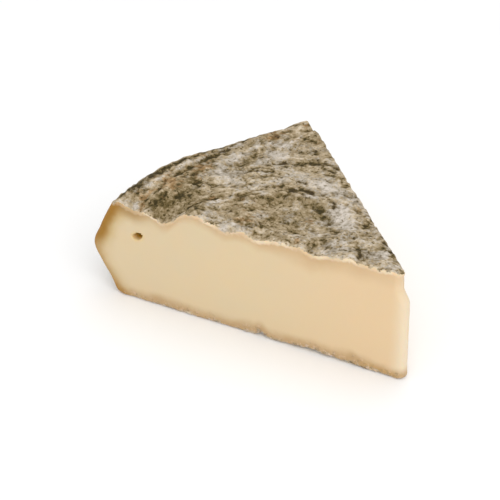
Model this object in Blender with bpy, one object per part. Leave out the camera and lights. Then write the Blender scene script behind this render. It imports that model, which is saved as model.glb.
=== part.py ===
"""A wedge cut from a round pressed cheese with a natural grey-brown rind, as one closed solid.

Metres, +Z up. The wedge lies on its flat side: its front cut faces -Y, its narrow tip points to +X and
the outer wall of the wheel is at -X. The origin is on the ground, under the middle of the wedge's box.
Plan shapes are worked out about the wheel's centre, where the two cuts would meet.
"""
import math

import bmesh
import bpy
from mathutils import Matrix, Vector, noise
from mathutils.geometry import delaunay_2d_cdt

# The wheel, and where its centre lies in the wedge's own frame
WHEEL_X = 0.0603
WHEEL_Y = -0.0427
RIM_RADIUS = 0.1087
WALL_BELLY = 0.0089
CENTRE_HEIGHT = 0.0398
RIM_HEIGHT = 0.0389
CROWN_POWER = 1.2
WEDGE_ANGLE = math.radians(46.5)

# The wall's section, from its foot to the rim: share of the height, share of the belly
WALL_SECTION = (
    (0.00, -0.02),
    (0.05, 0.13),
    (0.12, 0.27),
    (0.34, 0.77),
    (0.49, 1.00),
    (0.70, 0.64),
    (0.90, 0.25),
    (0.97, 0.12),
    (1.00, 0.00),
)

# The rim is not a true circle: angle from the front cut, change of radius, half width
RIM_WAVES = (
    (math.radians(1.0), 0.0005, math.radians(4.0)),
    (math.radians(12.0), 0.0008, math.radians(6.0)),
    (math.radians(31.5), -0.0024, math.radians(12.0)),
    (math.radians(39.5), -0.0007, math.radians(3.5)),
    (math.radians(45.0), 0.0017, math.radians(3.5)),
)
RIM_ROUNDING = 0.0025
RIM_DROP = 0.0009

# Hollows and swellings of the rind beside the front cut:
# distance from the wheel's centre along the cut, lift, half width along it, reach into the rind
EDGE_SWELLS = (
    (0.1035, -0.0020, 0.0055, 0.0060),
    (0.0970, -0.0022, 0.0037, 0.0060),
    (0.0897, -0.0048, 0.0040, 0.0075),
    (0.0790, 0.0018, 0.0049, 0.0120),
    (0.0675, -0.0011, 0.0040, 0.0070),
    (0.0548, -0.0015, 0.0036, 0.0060),
    (0.0478, 0.0004, 0.0034, 0.0060),
    (0.0357, -0.0016, 0.0033, 0.0080),
    (0.0235, 0.0010, 0.0040, 0.0060),
    (0.0080, 0.0007, 0.0050, 0.0060),
    (0.0010, -0.0013, 0.0035, 0.0040),
)

# The same beside the back cut
BACK_SWELLS = (
    (0.0805, 0.0011, 0.0060, 0.0040),
    (0.0110, -0.0012, 0.0050, 0.0040),
)

# Rings pressed into the rind beside the rim: radius, lift, half width
RIND_RINGS = (
    (0.1010, -0.0005, 0.0018),
    (0.0965, 0.0003, 0.0020),
    (0.0915, -0.0005, 0.0020),
    (0.0850, -0.0004, 0.0016),
)
RINGS_FADE_START = math.radians(18.0)
RINGS_FADE_END = math.radians(36.0)

# A shallow oval hollow in the rind, in the middle of the wedge
HOLLOW_RADIUS = 0.0520
HOLLOW_ANGLE = math.radians(19.0)
HOLLOW_LENGTH = 0.0170
HOLLOW_WIDTH = 0.0110
HOLLOW_DEPTH = 0.0009
HOLLOW_INSIDE = 0.65
HOLLOW_OUTSIDE = 1.10
HOLLOW_LIP = 0.0005
HOLLOW_LIP_AT = 1.15
HOLLOW_LIP_WIDTH = 0.18

# Unevenness of the rind, wall and cuts: size of the lumps and how far they stand out
LUMP_SIZE = 0.0110
LUMP_LIFT = 0.0007
CREASE_SIZE = 0.0046
CREASE_LIFT = 0.0003
WALL_LUMP_SIZE = 0.0130
WALL_LUMP_LIFT = 0.0009
CUT_WAVE_SIZE = 0.0260
CUT_WAVE_LIFT = 0.0004

# Places where the lower rind rises along the front cut: distance from the wheel's centre, lift, half width
BASE_NICKS = (
    (0.0532, 0.0014, 0.0020),
    (0.0430, 0.0006, 0.0040),
    (0.0355, 0.0012, 0.0040),
    (0.0265, 0.0006, 0.0060),
)
NICK_REACH = 0.0025
NICK_END = 0.0075

# The cuts bulge a little between the rinds, most of it away from their two ends
CUT_BULGE = 0.0005
CUT_BULGE_FLATNESS = 0.5

# The tip's paste stands proud of its rind, and the back cut bends in to meet it
NOSE_RADIUS = 0.0025
NOSE_SETBACK = 0.0022
NOSE_SLOPE_START = 0.72
NOSE_SLOPE_END = 0.86
NOSE_TOE = 0.0011
BACK_CUT_BEND = 0.0400

# The back cut bows out before it reaches the wall, and is straight again at the corner
BACK_CUT_BOW = 0.0014
BACK_CUT_BOW_AT = 0.0900
BACK_CUT_BOW_WIDTH = 0.0110
BACK_CUT_BOW_POWER = 12

# The upright corners between the wall and the cuts
CORNER_RADIUS = 0.0009

# The eye, a small gas hole that the front cut opened
EYE_RADIUS = 0.1001
EYE_HEIGHT = 0.0262
EYE_HALF_WIDTH = 0.0020
EYE_HALF_HEIGHT = 0.0013
EYE_DEPTH = 0.0028
EYE_TILT = math.radians(18.0)
EYE_SEGMENTS = 16
EYE_RINGS = 10

# Rows of the side, as shares of the height, and how far the rows near the top and the base are rounded in
ROWS = (
    0.0, 0.010, 0.022, 0.048, 0.11, 0.19, 0.28, 0.38, 0.48,
    0.58, 0.68, 0.77, 0.85, 0.915, 0.958, 0.986, 1.0,
)
EDGE_ROUNDING = 0.0008
ROUNDED_SHARE = 0.022

# Fineness of the mesh
CUT_STEPS = 42
WALL_STEPS = 36
NOSE_STEPS = 5
CORNER_STEPS = 3
TOP_SPACING = 0.0023
BASE_SPACING = 0.0050
EDGE_CLEARANCE = 0.55
SAME_PLACE = 1e-9
SHARP_ANGLE = math.radians(50.0)

# Cream paste, as the cut shows it
PASTE_COLOUR = (0.74, 0.60, 0.38, 1.0)
PASTE_ROUGHNESS = 0.55


def clear_scene():
    for item in list(bpy.data.objects):
        bpy.data.objects.remove(item, do_unlink=True)


def hill(distance, half_width):
    """A smooth hill: 1 at its middle, about a third at its half width."""
    return math.exp(-(distance / half_width) ** 2)


def smooth_step(value, low, high):
    share = min(max((value - low) / (high - low), 0.0), 1.0)
    return share * share * (3.0 - 2.0 * share)


def lumps(x, y, z, size):
    """Even lumps of about the given size, between -1 and 1."""
    return noise.noise(Vector((x, y, z)) / size)


def section_slopes():
    """Slopes at the points of the wall's section, flat at its turning points so that it never overshoots."""
    points = WALL_SECTION
    steps = [(b[1] - a[1]) / (b[0] - a[0]) for a, b in zip(points, points[1:])]
    slopes = [steps[0]]
    for before, after in zip(steps, steps[1:]):
        if before * after <= 0.0:
            slopes.append(0.0)
        else:
            slopes.append(2.0 * before * after / (before + after))
    slopes.append(steps[-1])
    return slopes


SECTION_SLOPES = section_slopes()


def wall_share(share):
    """How much of the belly the wall has at a share of the height."""
    share = min(max(share, 0.0), 1.0)
    for index in range(len(WALL_SECTION) - 1):
        low, high = WALL_SECTION[index], WALL_SECTION[index + 1]
        if share <= high[0]:
            break
    width = high[0] - low[0]
    t = (share - low[0]) / width
    start = low[1] * (1.0 + 2.0 * t) * (1.0 - t) ** 2 + SECTION_SLOPES[index] * width * t * (1.0 - t) ** 2
    end = high[1] * t * t * (3.0 - 2.0 * t) - SECTION_SLOPES[index + 1] * width * t * t * (1.0 - t)
    return start + end


def rim_radius(angle):
    return RIM_RADIUS + sum(lift * hill(angle - at, width) for at, lift, width in RIM_WAVES)


def wall_radius(angle, share):
    belly = wall_share(share)
    lump = WALL_LUMP_LIFT * lumps(math.cos(angle) * RIM_RADIUS, math.sin(angle) * RIM_RADIUS,
                                  share * RIM_HEIGHT, WALL_LUMP_SIZE)
    return rim_radius(angle) + (WALL_BELLY + lump) * belly


def edge_swells(x, y):
    """The hollows and swellings of the rind beside the two cuts."""
    along_back = y * math.sin(WEDGE_ANGLE) - x * math.cos(WEDGE_ANGLE)
    to_back = -x * math.sin(WEDGE_ANGLE) - y * math.cos(WEDGE_ANGLE)
    lifts = 0.0
    for swells, along, across in ((EDGE_SWELLS, -x, y), (BACK_SWELLS, along_back, to_back)):
        for at, lift, width, reach in swells:
            lifts += lift * hill(along - at, width) * hill(max(across, 0.0), reach)
    return lifts


def rind_rings(radius, angle):
    """The rings pressed into the rind, which fade out away from the front cut."""
    fade = 1.0 - smooth_step(angle, RINGS_FADE_START, RINGS_FADE_END)
    return fade * sum(lift * hill(radius - at, width) for at, lift, width in RIND_RINGS)


def oval_hollow(x, y):
    """A shallow oval dip with a faint raised lip around it."""
    dx = x + HOLLOW_RADIUS * math.cos(HOLLOW_ANGLE)
    dy = y - HOLLOW_RADIUS * math.sin(HOLLOW_ANGLE)
    distance = math.hypot(dx / HOLLOW_LENGTH, dy / HOLLOW_WIDTH)
    floor = HOLLOW_DEPTH * (1.0 - smooth_step(distance, HOLLOW_INSIDE, HOLLOW_OUTSIDE))
    return HOLLOW_LIP * hill(distance - HOLLOW_LIP_AT, HOLLOW_LIP_WIDTH) - floor


def top_height(x, y):
    """Height of the rind at a place about the wheel's centre."""
    radius = math.hypot(x, y)
    angle = math.atan2(y, -x)
    rim = rim_radius(angle)
    height = CENTRE_HEIGHT - (CENTRE_HEIGHT - RIM_HEIGHT) * min(radius / rim, 1.0) ** CROWN_POWER
    to_rim = max(rim - radius, 0.0)
    if to_rim < RIM_ROUNDING:
        height -= RIM_DROP * (1.0 - to_rim / RIM_ROUNDING) ** 2
    height += edge_swells(x, y) + rind_rings(radius, angle) + oval_hollow(x, y)
    height += LUMP_LIFT * lumps(x, y, 0.0, LUMP_SIZE) + CREASE_LIFT * lumps(x, y, 0.0, CREASE_SIZE)
    return height


def base_height(x, y):
    """Height of the underside, which is flat but for its rises beside the front cut."""
    if y > NICK_END:
        return 0.0
    along = -x
    lifts = sum(lift * hill(along - at, width) for at, lift, width in BASE_NICKS)
    return lifts * hill(max(y, 0.0), NICK_REACH)


def nose_setback(share):
    """How far the tip lies back at a share of the height: most under the rind, a little at the toe."""
    return NOSE_SETBACK * smooth_step(share, NOSE_SLOPE_START, NOSE_SLOPE_END) - NOSE_TOE * (1.0 - share)


def rounded_corner(corner, before, after, radius, steps):
    """Points of an arc that rounds a corner, from the side of one unit direction to that of the other."""
    half = 0.5 * before.angle(after)
    reach = radius / math.tan(half)
    centre = corner + (before + after).normalized() * (radius / math.sin(half))
    start = corner + before * reach - centre
    turn = start.angle_signed(corner + after * reach - centre)
    return [centre + Matrix.Rotation(-turn * step / steps, 2) @ start for step in range(steps + 1)]


def cut_bulge(share, along):
    """How far a cut bulges between its rinds, least at its two ends."""
    return CUT_BULGE * math.sin(math.pi * share) * math.sin(math.pi * along) ** CUT_BULGE_FLATNESS


def cut_wave(point, share, along):
    """The slow waves that the knife left in a cut, which die away at its two ends."""
    wave = lumps(point.x, point.y, share * RIM_HEIGHT, CUT_WAVE_SIZE)
    return CUT_WAVE_LIFT * wave * math.sin(math.pi * along)


def front_cut(start, end, share):
    """Points of the front cut between its two corners, not counting these."""
    points = []
    for step in range(1, CUT_STEPS):
        along = step / CUT_STEPS
        point = start.lerp(end, along)
        out = cut_bulge(share, along) + cut_wave(point, share, along)
        points.append(point + Vector((0.0, -out)))
    return points


def back_cut(start, end, share, normal):
    """Points of the back cut, which bends in towards the tip where the rind lies back."""
    points = []
    bend = nose_setback(share) * math.sin(WEDGE_ANGLE)
    length = (end - start).length
    for step in range(1, CUT_STEPS):
        along = step / CUT_STEPS
        point = start.lerp(end, along)
        from_tip = along * length
        bent = bend * (1.0 - along - math.exp(-from_tip / BACK_CUT_BEND))
        bow = BACK_CUT_BOW * hill(from_tip - BACK_CUT_BOW_AT, BACK_CUT_BOW_WIDTH)
        bow *= 1.0 - along ** BACK_CUT_BOW_POWER
        out = bent + bow + cut_bulge(share, along) + cut_wave(point, share, along)
        points.append(point + normal * out)
    return points


def outer_wall(start, end, share):
    """Points of the wheel's outer wall between its two corners, not counting these."""
    first = math.atan2(start.y, -start.x)
    last = math.atan2(end.y, -end.x)
    points = []
    for step in range(1, WALL_STEPS):
        angle = first + (last - first) * step / WALL_STEPS
        points.append(Vector((-math.cos(angle), math.sin(angle))) * wall_radius(angle, share))
    return points


def outline(share):
    """The wedge's outline at a share of its height, anticlockwise about the wheel's centre."""
    towards_tip = Vector((1.0, 0.0))
    along_back = Vector((-math.cos(WEDGE_ANGLE), math.sin(WEDGE_ANGLE)))
    back_normal = Vector((math.sin(WEDGE_ANGLE), math.cos(WEDGE_ANGLE)))
    front_corner = Vector((-wall_radius(0.0, share), 0.0))
    back_corner = along_back * wall_radius(WEDGE_ANGLE, share)
    tip = Vector((-nose_setback(share), 0.0))
    nose = rounded_corner(tip, -towards_tip, along_back, NOSE_RADIUS, NOSE_STEPS)
    corner_radius = CORNER_RADIUS + rounded_in(share)
    wall_front = rounded_corner(front_corner, Vector((0.0, 1.0)), towards_tip, corner_radius, CORNER_STEPS)
    wall_back = rounded_corner(back_corner, -along_back, -back_normal, corner_radius, CORNER_STEPS)
    points = wall_front + front_cut(wall_front[-1], nose[0], share)
    points += nose + back_cut(nose[-1], wall_back[0], share, back_normal)
    return points + wall_back + outer_wall(wall_back[-1], wall_front[0], share)


def rounded_in(share):
    """How far a row lies inside the outline, to round the top and bottom edges."""
    near = min(share, 1.0 - share)
    if near >= ROUNDED_SHARE:
        return 0.0
    return EDGE_ROUNDING * (1.0 - math.sqrt(1.0 - (1.0 - near / ROUNDED_SHARE) ** 2))


def inset(points, distance):
    """An anticlockwise outline moved inwards."""
    moved = []
    count = len(points)
    for index, point in enumerate(points):
        run = (points[(index + 1) % count] - points[index - 1]).normalized()
        moved.append(point + Vector((-run.y, run.x)) * distance)
    return moved


def inside_points(ring, spacing, clearance):
    """Evenly staggered places inside an outline, clear of its edge."""
    keep = inset(ring, clearance)
    low_x, high_x = min(p.x for p in keep), max(p.x for p in keep)
    low_y, high_y = min(p.y for p in keep), max(p.y for p in keep)
    row_step = spacing * math.sqrt(0.75)
    points = []
    for row in range(int((high_y - low_y) / row_step) + 1):
        y = low_y + (row + 0.5) * row_step
        for column in range(int((high_x - low_x) / spacing) + 1):
            x = low_x + (column + 0.5 * (row % 2)) * spacing
            if is_inside(keep, x, y):
                points.append(Vector((x, y)))
    return points


def is_inside(ring, x, y):
    inside = False
    for a, b in zip(ring, ring[1:] + ring[:1]):
        if (a.y > y) != (b.y > y) and x < a.x + (y - a.y) * (b.x - a.x) / (b.y - a.y):
            inside = not inside
    return inside


def add_cap(shape, ring, ring_vertices, spacing, height_at, upwards):
    """Closes the top or the underside with triangles over an even spread of points."""
    inner = inside_points(ring, spacing, spacing * EDGE_CLEARANCE)
    places = ring + inner
    border = [(index, (index + 1) % len(ring)) for index in range(len(ring))]
    faces = delaunay_2d_cdt(places, border, [], 1, SAME_PLACE)[2]
    vertices = list(ring_vertices)
    for point in inner:
        vertices.append(shape.verts.new((point.x, point.y, height_at(point.x, point.y))))
    for face in faces:
        corners = [vertices[index] for index in face]
        shape.faces.new(corners if upwards else corners[::-1])


def build_wedge_shape():
    """The whole wedge about the wheel's centre: stacked outlines for the side, and two caps."""
    shape = bmesh.new()
    rows = []
    for share in ROWS:
        points = inset(outline(share), rounded_in(share))
        row = []
        for point in points:
            low = base_height(point.x, point.y)
            high = top_height(point.x, point.y)
            row.append(shape.verts.new((point.x, point.y, low + share * (high - low))))
        rows.append((points, row))
    for (_, lower), (_, upper) in zip(rows, rows[1:]):
        for index in range(len(lower)):
            after = (index + 1) % len(lower)
            shape.faces.new((lower[index], lower[after], upper[after], upper[index]))
    add_cap(shape, rows[-1][0], rows[-1][1], TOP_SPACING, top_height, True)
    add_cap(shape, rows[0][0], rows[0][1], BASE_SPACING, base_height, False)
    return shape


def paste_material():
    material = bpy.data.materials.new("cheese")
    material.use_nodes = True
    shader = material.node_tree.nodes["Principled BSDF"]
    shader.inputs["Base Color"].default_value = PASTE_COLOUR
    shader.inputs["Roughness"].default_value = PASTE_ROUGHNESS
    shader.inputs["Metallic"].default_value = 0.0
    return material


def add_wedge():
    shape = build_wedge_shape()
    bmesh.ops.translate(shape, verts=shape.verts, vec=(WHEEL_X, WHEEL_Y, 0.0))
    mesh = bpy.data.meshes.new("cheese_wedge")
    shape.to_mesh(mesh)
    shape.free()
    mesh.materials.append(paste_material())
    mesh.shade_smooth()
    mesh.set_sharp_from_angle(angle=SHARP_ANGLE)
    wedge = bpy.data.objects.new("cheese_wedge", mesh)
    bpy.context.collection.objects.link(wedge)
    return wedge


def add_eye_cutter():
    """An egg-shaped cutter for the eye, half in the paste and half in front of the cut."""
    shape = bmesh.new()
    bmesh.ops.create_uvsphere(shape, u_segments=EYE_SEGMENTS, v_segments=EYE_RINGS, radius=1.0)
    bmesh.ops.scale(shape, verts=shape.verts, vec=(EYE_HALF_WIDTH, EYE_DEPTH, EYE_HALF_HEIGHT))
    mesh = bpy.data.meshes.new("eye_cutter")
    shape.to_mesh(mesh)
    shape.free()
    cutter = bpy.data.objects.new("eye_cutter", mesh)
    cutter.location = (WHEEL_X - EYE_RADIUS, WHEEL_Y, EYE_HEIGHT)
    cutter.rotation_euler = (0.0, -EYE_TILT, 0.0)
    cutter.display_type = "WIRE"
    cutter.hide_render = True
    bpy.context.collection.objects.link(cutter)
    return cutter


def main():
    clear_scene()
    wedge = add_wedge()
    cut = wedge.modifiers.new("eye", "BOOLEAN")
    cut.operation = "DIFFERENCE"
    cut.solver = "EXACT"
    cut.object = add_eye_cutter()


main()
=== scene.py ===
"""The looks of a wedge of round pressed cheese: its grey-brown mouldy rind and its cream cut paste.

Metres, +Z up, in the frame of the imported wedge. The front cut faces -Y, the tip points to +X and the wheel's
outer wall is at -X. Plan shapes are worked out about the wheel's centre, where the two cuts would meet.
"""
import math

import bmesh
import bpy
import numpy as np
from mathutils import Matrix, Vector, noise
from mathutils.geometry import delaunay_2d_cdt


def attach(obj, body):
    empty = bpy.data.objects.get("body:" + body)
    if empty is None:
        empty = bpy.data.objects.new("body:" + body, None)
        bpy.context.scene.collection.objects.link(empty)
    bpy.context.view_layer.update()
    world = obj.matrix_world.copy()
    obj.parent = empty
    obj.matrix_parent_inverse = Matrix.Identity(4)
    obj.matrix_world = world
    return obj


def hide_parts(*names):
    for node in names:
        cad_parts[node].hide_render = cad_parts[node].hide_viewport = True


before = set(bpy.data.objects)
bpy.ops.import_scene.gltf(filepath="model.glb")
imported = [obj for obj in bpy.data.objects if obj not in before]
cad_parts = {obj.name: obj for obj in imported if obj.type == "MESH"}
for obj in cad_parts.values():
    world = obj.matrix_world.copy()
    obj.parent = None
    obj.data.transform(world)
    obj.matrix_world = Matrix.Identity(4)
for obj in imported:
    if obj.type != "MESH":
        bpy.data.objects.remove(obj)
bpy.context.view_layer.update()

MM = 0.001

# The wheel and the wedge, as in the part
WHEEL_CENTRE = (0.0603, -0.0427, 0.0)
RIM_RADIUS = 0.1087
WALL_BELLY = 0.0089
CENTRE_HEIGHT = 0.0398
RIM_HEIGHT = 0.0389
CROWN_POWER = 1.2
WEDGE_ANGLE = math.radians(46.5)

# The wall's section, from its foot to the rim: share of the height, share of the belly
WALL_SECTION = (
    (0.00, -0.02),
    (0.05, 0.13),
    (0.12, 0.27),
    (0.34, 0.77),
    (0.49, 1.00),
    (0.70, 0.64),
    (0.90, 0.25),
    (0.97, 0.12),
    (1.00, 0.00),
)

# The rim is not a true circle: angle from the front cut in degrees, change of radius, half width in degrees
RIM_WAVES = (
    (1.0, 0.0005, 4.0),
    (12.0, 0.0008, 6.0),
    (31.5, -0.0024, 12.0),
    (39.5, -0.0007, 3.5),
    (45.0, 0.0017, 3.5),
)
RIM_ROUNDING = 0.0025
RIM_DROP = 0.0009

# Hollows and swellings of the rind beside the front cut:
# distance from the wheel's centre along the cut, lift, half width along it, reach into the rind
EDGE_SWELLS = (
    (0.1035, -0.0020, 0.0055, 0.0060),
    (0.0970, -0.0022, 0.0037, 0.0060),
    (0.0897, -0.0048, 0.0040, 0.0075),
    (0.0790, 0.0018, 0.0049, 0.0120),
    (0.0675, -0.0011, 0.0040, 0.0070),
    (0.0548, -0.0015, 0.0036, 0.0060),
    (0.0478, 0.0004, 0.0034, 0.0060),
    (0.0357, -0.0016, 0.0033, 0.0080),
    (0.0235, 0.0010, 0.0040, 0.0060),
    (0.0080, 0.0007, 0.0050, 0.0060),
    (0.0010, -0.0013, 0.0035, 0.0040),
)

# The same beside the back cut
BACK_SWELLS = (
    (0.0805, 0.0011, 0.0060, 0.0040),
    (0.0110, -0.0012, 0.0050, 0.0040),
)

# Rings pressed into the rind beside the rim: radius, lift, half width
RIND_RINGS = (
    (0.1010, -0.0005, 0.0018),
    (0.0965, 0.0003, 0.0020),
    (0.0915, -0.0005, 0.0020),
    (0.0850, -0.0004, 0.0016),
)
RINGS_FADE = (math.radians(18.0), math.radians(36.0))

# A shallow oval hollow in the rind, in the middle of the wedge
HOLLOW_RADIUS = 0.0520
HOLLOW_ANGLE = math.radians(19.0)
HOLLOW_LENGTH = 0.0170
HOLLOW_WIDTH = 0.0110
HOLLOW_DEPTH = 0.0009
HOLLOW_RANGE = (0.65, 1.10)

# Its lip: share of the way to its edge, lift, half width
HOLLOW_LIP = ((1.15, 0.0005, 0.18),)

# The larger lumps of rind, wall and cuts, as in the part: height, size, depth in the noise
RIND_LUMPS = ((0.0007, 0.0110, 0.0), (0.0003, 0.0046, 0.0))
WALL_LUMPS = ((0.0009, 0.0130, 0.0),)
CUT_WAVES = ((0.0004, 0.0260, 0.0),)

# Places where the lower rind rises along the front cut: distance from the wheel's centre, lift, half width
BASE_NICKS = (
    (0.0532, 0.0014, 0.0020),
    (0.0430, 0.0006, 0.0040),
    (0.0355, 0.0012, 0.0040),
    (0.0265, 0.0006, 0.0060),
)
NICK_REACH = 0.0025

# The cuts, the tip and the upright corners
CUT_BULGE = 0.0005
CUT_BULGE_FLATNESS = 0.5
NOSE_RADIUS = 0.0025
NOSE_SETBACK = 0.0022
NOSE_SLOPE = (0.72, 0.86)
NOSE_TOE = 0.0011
BACK_CUT_BEND = 0.0400
CORNER_RADIUS = 0.0012

# The bow of the back cut: distance from the tip, how far it stands out, half width
BACK_CUT_BOW = ((0.0900, 0.0014, 0.0110),)
BACK_CUT_BOW_POWER = 12

# The eye, a small gas hole that the front cut opened
EYE_RADIUS = 0.1001
EYE_HEIGHT = 0.0262
EYE_HALF_WIDTH = 0.0020
EYE_HALF_HEIGHT = 0.0013
EYE_DEPTH = 0.0028
EYE_TILT = math.radians(18.0)
EYE_SQUARENESS = 2.2

# Waves of the eye's edge: how many round it, height, phase
EYE_WAVES = ((2.0, 0.05, 0.4), (3.0, 0.04, 1.0))

# Fineness of the mesh: spacing of its points on each side
CUT_SPACING = 0.00056
WALL_SPACING = 0.00056
ROW_SPACING = 0.00062
TOP_SPACING = 0.00047
BASE_SPACING = 0.00080
EYE_FINE_REACH = 0.0028
EYE_FINE_PARTS = (0.25, 0.5, 0.75)
EDGE_ROWS = (0.0, 0.00010, 0.00024, 0.00042, 0.00064, 0.0009, 0.0012, 0.0016, 0.0021, 0.0027)
NOSE_STEPS = 12
CORNER_STEPS = 4
EDGE_CLEARANCE = 0.6
SAME_PLACE = 1e-9

# How far the edges of top and base are rounded inwards, and over what height
TOP_EDGE_ROUNDING = 0.00022
TOP_EDGE_DEPTH = 0.00030
BASE_EDGE_ROUNDING = 0.00075
BASE_EDGE_DEPTH = 0.00085

# The knife left a ragged lip of crust and a faint groove under it: distance from the top, lift, half width
LIP = ((0.00058, 0.00026, 0.00046),)
GROOVE = ((0.0019, -0.00012, 0.0008),)

# How strong the lip is: everywhere, where the crust is pale, by its patches and crumbs, and at most
LIP_PATCH_SIZE = 0.0021
LIP_CRUMB_SIZE = 0.0009
LIP_EVEN = 0.3
LIP_CRUST = 0.5
LIP_UNEVEN = 0.9
LIP_MOST = 1.8

# How far the marks of top and base reach round their edges, and how far the wall's relief fades at a cut
EDGE_BLEND = 0.0030
CORNER_BLEND = 0.0015

# Grain of the cut paste and fringe above the base: height, size, depth in the noise
PASTE_GRAIN = ((0.00006, 0.0045, 0.0), (0.00002, 0.0012, 0.0))
FRINGE = ((0.00030, 0.0014, 0.0),)

# Where the crust of the front cut shows pale, its own colour with a painted highlight of its lip: distance
# from the wheel's centre, strength, half width
CRUST_BASE = 0.30
CRUST_PLACES = (
    (0.0948, 0.8, 0.0032),
    (0.0725, 0.8, 0.0030),
    (0.0640, 0.4, 0.0030),
    (0.0535, 0.9, 0.0035),
    (0.0460, 0.9, 0.0030),
    (0.0325, 0.7, 0.0030),
    (0.0235, 0.9, 0.0030),
    (0.0100, 0.6, 0.0040),
)

# Small steps of the rind's edge along the front cut: distance from the wheel's centre, lift, half width
FRONT_STEPS = (
    (0.0940, -0.0004, 0.0014),
    (0.0893, 0.0009, 0.0012),
    (0.0850, -0.0007, 0.0024),
    (0.0790, -0.0005, 0.0020),
    (0.0700, 0.0007, 0.0020),
    (0.0662, 0.0012, 0.0018),
    (0.0625, 0.0006, 0.0020),
)

# The same along the back cut
BACK_STEPS = (
    (0.1060, 0.0004, 0.0020),
    (0.1018, -0.0008, 0.0025),
    (0.0535, -0.0010, 0.0025),
    (0.0490, 0.0006, 0.0020),
    (0.0300, -0.0007, 0.0030),
)
STEP_REACH = 0.0040

# Crumbs of the rind's edge along both cuts, which fade out at the back corner
CRUMB_SIZE = 0.0026
CRUMB_LIFT = 0.00045
CRUMB_REACH = 0.0030
CORNER_FADE = (0.001, 0.010)

# Bumps of the rind's edge along the back cut, which are also darker away from the tip
BUMP_SIZE = 0.0030
BUMP_DEPTH = 0.3
BUMP_LIFT = 0.0009
BUMP_SINK = 0.0003
BUMP_REACH = 0.0016
BUMP_DARKNESS = 0.12
BUMP_CONTRAST = 0.9
TIP_FADE = (0.008, 0.016)

# The rind is paler where it meets the front cut, above and below; below, this is pale mould and partly painted
# light that lifts the shade at the lower edge
TOP_PALE_REACH = 0.0012
TOP_PALE_LIGHT = 0.30
BASE_PALE_REACH = 0.0030
BASE_PALENESS_AND_PAINTED_LIGHT = 0.30
BASE_BLOOM_AND_PAINTED_LIGHT = 0.80

# Dark specks on the lower edge of the front cut: distance from the wheel's centre, darkness, half width
BASE_SPECKS = (
    (0.0298, 0.9, 0.0013),
    (0.0245, 0.4, 0.0030),
    (0.0203, 1.6, 0.0011),
    (0.0164, 1.1, 0.0013),
)
BASE_SPECK_REACH = 0.0020

# Pale mould that hangs over the cut's edges: distance from the wheel's centre, how far it hangs, half width
TOP_SMEARS = (
    (0.0930, 0.0005, 0.0030),
    (0.0655, 0.0011, 0.0038),
    (0.0475, 0.0004, 0.0022),
    (0.0270, 0.0003, 0.0030),
)
BASE_SMEARS = (
    (0.0905, 0.0009, 0.0050),
    (0.0560, 0.0013, 0.0055),
    (0.0340, 0.0005, 0.0060),
    (0.0203, 0.0008, 0.0014),
    (0.0190, 0.0012, 0.0050),
)
SMEAR_ON_CRUST = 0.5

# How far the rind's colour wraps over the edge of the back cut
BACK_WRAP = 0.0009

# The rind's streaks run round a point off the wheel's centre, and beside the rim they follow the rim
STREAK_X = -0.040
STREAK_Y = -0.022
STREAK_RADIUS = 0.055
STREAK_OFFSET = 0.080
STREAK_TURN = (0.004, 0.020)

# How the streaks bend: reach, size and depth in the noise of the lumps that bend them
STREAK_BENDS = ((0.0014, 0.0070, 0.31), (0.0007, 0.0024, 0.37))

# The mottled form of the whole rind: size of the lumps, stretch along the streaks, depth in the noise, weight
MOTTLE = (
    (0.0028, 2.6, 0.00, 0.46),
    (0.0013, 1.8, 0.11, 0.24),
    (0.0017, 1.0, 0.17, 0.46),
    (0.0009, 1.0, 0.23, 0.12),
)
MOTTLE_LIFT = 0.00038
DARK_SINK = 0.00010

# Its dips are dark and its rises light, more in some regions: size and depth in the noise of the regions
DIP_REGIONS = (0.0150, 0.41)
DIP_START = 0.04
DIP_SWAY = 0.08
DIP_END = 0.46
RISE_LIMITS = (0.02, 0.42)
RISE_LIGHT = 0.45
DARK_REGIONS = (0.0120, 0.47)
DARK_MEAN = 0.85
DARK_SWAY = 0.5

# Regions of grey bloom, mostly on the rises, and spots of ochre
BLOOM_REGIONS = (0.0085, 0.61)
BLOOM_ON_RISES = 0.6
BLOOM_LIMITS = (-0.05, 0.55)
BLOOM_MOST = 0.6
OCHRE_REGIONS = (0.0060, 0.53)
OCHRE_LIMITS = (0.45, 0.70)
OCHRE_MOST = 0.7

# Where in the noise the rind of each side lies, so that no two sides look alike
TOP_DEPTH = 0.0
WALL_DEPTH = 0.9
BASE_DEPTH = 1.7

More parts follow.
